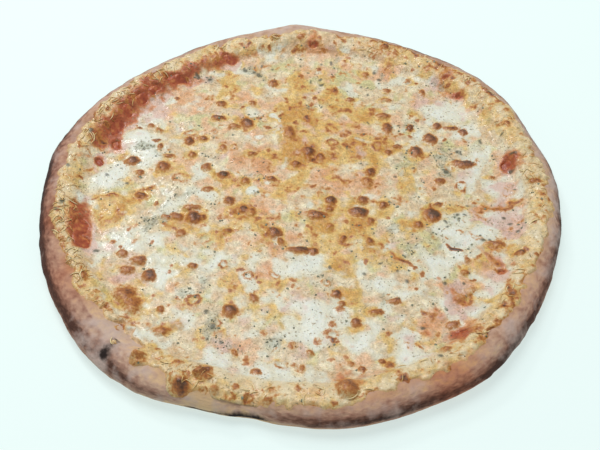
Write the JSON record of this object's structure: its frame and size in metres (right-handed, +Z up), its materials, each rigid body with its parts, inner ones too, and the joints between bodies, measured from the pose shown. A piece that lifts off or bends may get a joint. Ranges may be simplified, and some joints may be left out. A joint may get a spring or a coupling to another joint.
{
  "type": "four cheese pizza",
  "caption": "Whole round baked pizza with a puffed, browned dough rim, tomato sauce showing beside the rim and a blistered layer of mixed melted cheeses.",
  "frame": {"origin": "middle of the pizza's outline, on the surface it rests on", "axes": "+Z up through the middle of the pizza, +X to the right and +Y to the back as the pizza is seen with its pinched edge towards the viewer"},
  "size_m": [0.3202, 0.3224, 0.0199],
  "materials": {
    "baked_dough": "baked yeasted dough: dry, matt, pinkish tan on top, darker brown to charred low on the wall, with a bloom of flour",
    "tomato_sauce": "baked tomato sauce: red-brown, moist, orange where fat has run into it",
    "melted_cheese": "melted mixed cheeses: cream to ivory with pale oil-orange patches, browned blisters, greenish blue veins and soft gloss"
  },
  "bodies": {
    "root": {"crust": "baked_dough", "tomato_sauce": "tomato_sauce", "cheese": "melted_cheese"}
  },
  "joints": []
}
